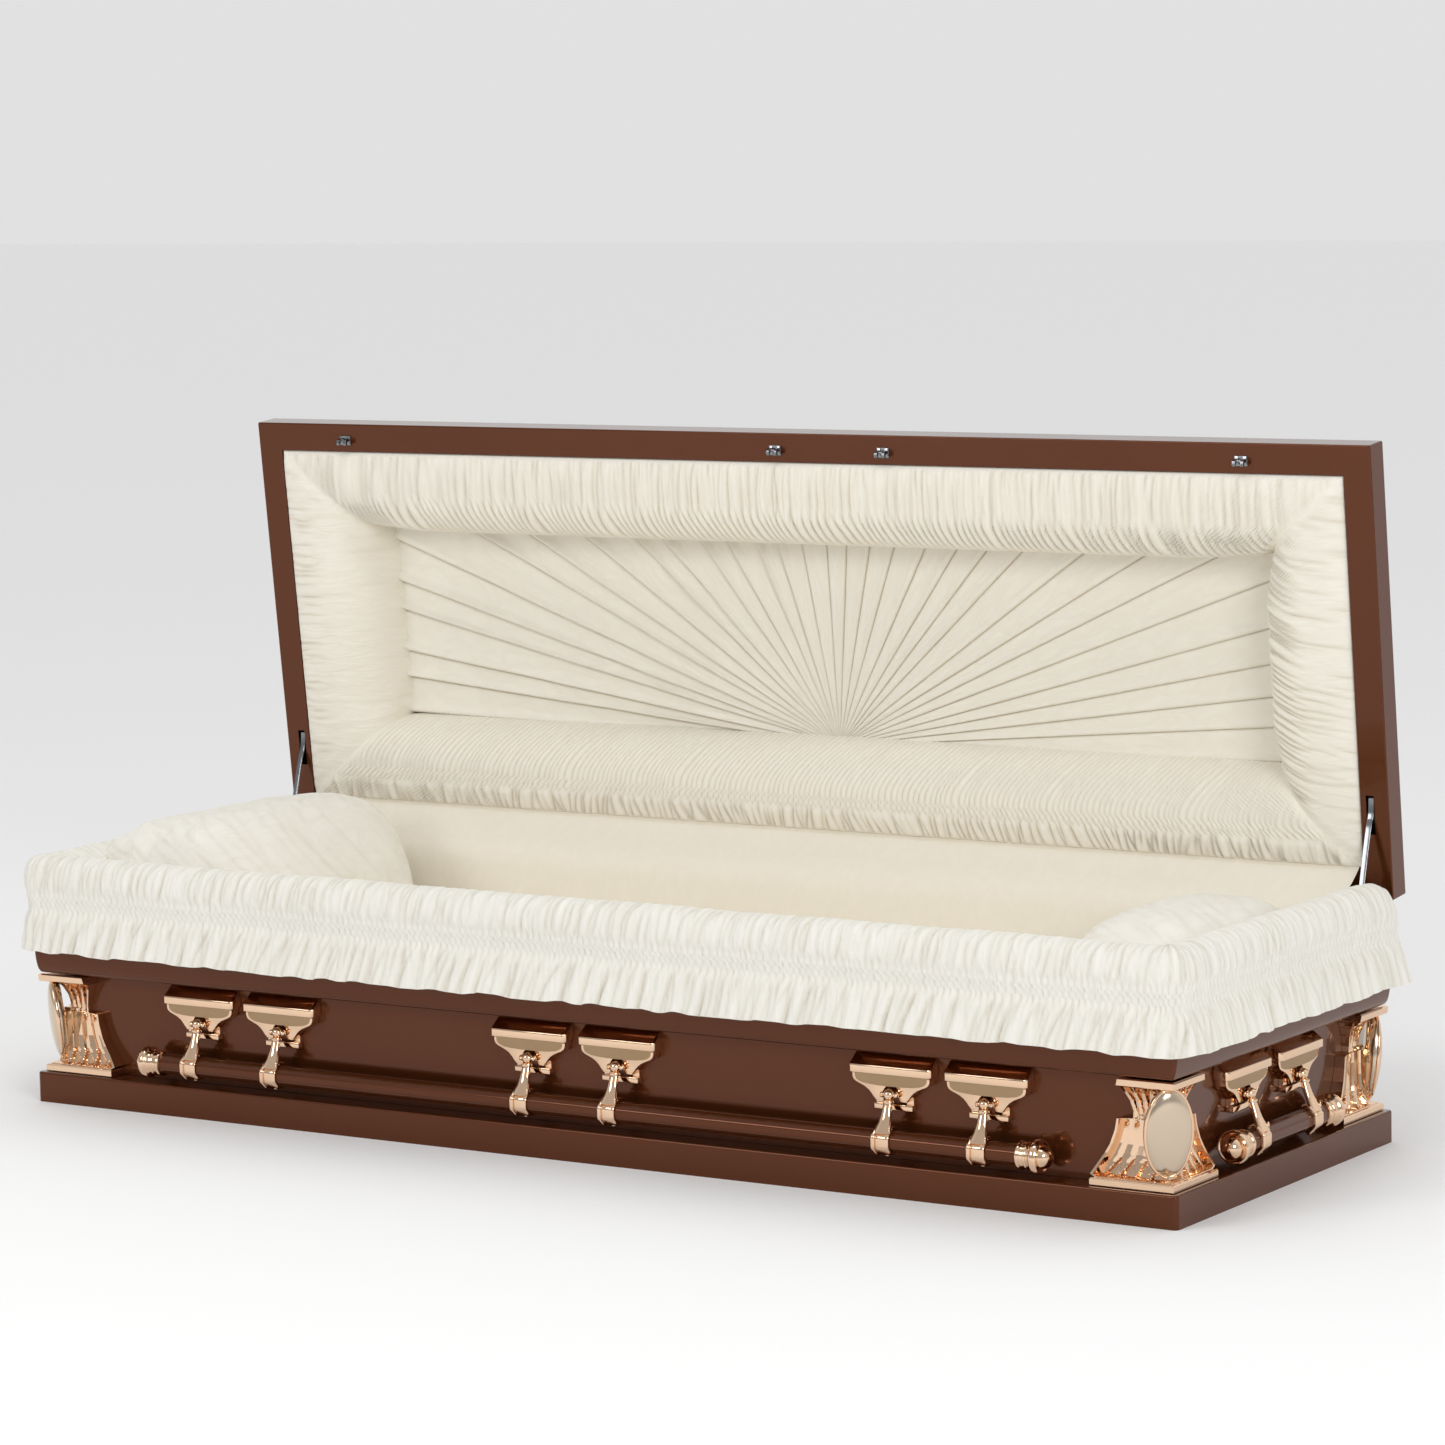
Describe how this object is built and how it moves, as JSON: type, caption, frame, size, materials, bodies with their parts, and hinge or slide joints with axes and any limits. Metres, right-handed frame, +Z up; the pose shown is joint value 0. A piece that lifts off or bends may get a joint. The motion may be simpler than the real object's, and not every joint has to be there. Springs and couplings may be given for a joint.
{
  "type": "funeral casket",
  "caption": "Full-couch steel casket with a one-piece hinged lid standing open, swing-bar handles, cast corner ornaments and a gathered cloth interior.",
  "frame": {"origin": "middle of the flat underside of the base", "axes": "+X along the length towards the foot end, +Y towards the hinge at the back, +Z up"},
  "size_m": [2.188, 0.9389, 1.0831],
  "materials": {
    "painted_brown": "high-gloss warm brown paint",
    "rose_gold": "polished rose-gold plating",
    "chrome": "bright plated steel",
    "ivory_cloth": "ivory crepe, gathered",
    "lid_cloth": "ivory crepe, shirred and pleated"
  },
  "bodies": {
    "box": {"base_pan": "painted_brown", "body_panels": "painted_brown", "rim_moulding": "painted_brown", "corner_front_left": "rose_gold", "corner_front_right": "rose_gold", "corner_back_right": "rose_gold", "corner_back_left": "rose_gold", "ear_front_1": "rose_gold", "ear_front_2": "rose_gold", "ear_front_3": "rose_gold", "ear_front_4": "rose_gold", "ear_front_5": "rose_gold", "ear_front_6": "rose_gold", "ear_back_1": "rose_gold", "ear_back_2": "rose_gold", "ear_back_3": "rose_gold", "ear_back_4": "rose_gold", "ear_back_5": "rose_gold", "ear_back_6": "rose_gold", "ear_foot_end_1": "rose_gold", "ear_foot_end_2": "rose_gold", "ear_head_end_1": "rose_gold", "ear_head_end_2": "rose_gold", "body_lining": "ivory_cloth", "mattress": "ivory_cloth", "pillow": "ivory_cloth", "foot_cushion": "ivory_cloth", "apron": "ivory_cloth", "hinge_cover": "ivory_cloth", "hinge_leaf_body": "painted_brown"},
    "lid": {"lid_shell": "painted_brown", "lid_roll": "lid_cloth", "lid_panel": "lid_cloth", "hinge_leaf_lid": "painted_brown", "latch_hook_1": "chrome", "latch_hook_2": "chrome", "latch_hook_3": "chrome", "latch_hook_4": "chrome"},
    "stay_head": {"stay_head": "chrome"},
    "stay_foot": {"stay_foot": "chrome"},
    "handle_front": {"bar_front": "painted_brown", "arm_front_1": "rose_gold", "arm_front_2": "rose_gold", "arm_front_3": "rose_gold", "arm_front_4": "rose_gold", "arm_front_5": "rose_gold", "arm_front_6": "rose_gold"},
    "handle_back": {"bar_back": "painted_brown", "arm_back_1": "rose_gold", "arm_back_2": "rose_gold", "arm_back_3": "rose_gold", "arm_back_4": "rose_gold", "arm_back_5": "rose_gold", "arm_back_6": "rose_gold"},
    "handle_foot_end": {"bar_foot_end": "painted_brown", "arm_foot_end_1": "rose_gold", "arm_foot_end_2": "rose_gold"},
    "handle_head_end": {"bar_head_end": "painted_brown", "arm_head_end_1": "rose_gold", "arm_head_end_2": "rose_gold"}
  },
  "joints": [
    {"name": "lid_hinge", "type": "hinge", "parent": "box", "child": "lid", "pos_m": [0, 0.358, 0.37], "axis": [1, 0, 0], "range_deg": [0, 84.2], "deforming": ["apron", "pillow", "foot_cushion", "hinge_cover"]},
    {"name": "stay_head_pivot", "type": "hinge", "parent": "lid", "child": "stay_head", "pos_m": [-1.029, 0.3498, 0.52497], "axis": [1, 0, 0], "range_deg": [-15.2, 0]},
    {"name": "stay_foot_pivot", "type": "hinge", "parent": "lid", "child": "stay_foot", "pos_m": [1.029, 0.3498, 0.52497], "axis": [1, 0, 0], "range_deg": [-15.2, 0]},
    {"name": "front_swing", "type": "hinge", "parent": "box", "child": "handle_front", "pos_m": [0, -0.334, 0.151], "axis": [-1, 0, 0], "range_deg": [0, 75]},
    {"name": "back_swing", "type": "hinge", "parent": "box", "child": "handle_back", "pos_m": [0, 0.334, 0.151], "axis": [1, 0, 0], "range_deg": [0, 75]},
    {"name": "foot_end_swing", "type": "hinge", "parent": "box", "child": "handle_foot_end", "pos_m": [1.04, 0, 0.151], "axis": [0, -1, 0], "range_deg": [0, 75]},
    {"name": "head_end_swing", "type": "hinge", "parent": "box", "child": "handle_head_end", "pos_m": [-1.04, 0, 0.151], "axis": [0, 1, 0], "range_deg": [0, 75]}
  ],
  "couplings": [
    {"joint": "stay_head_pivot", "follows": "lid_hinge", "ratio": -0.178},
    {"joint": "stay_foot_pivot", "follows": "lid_hinge", "ratio": -0.178}
  ]
}
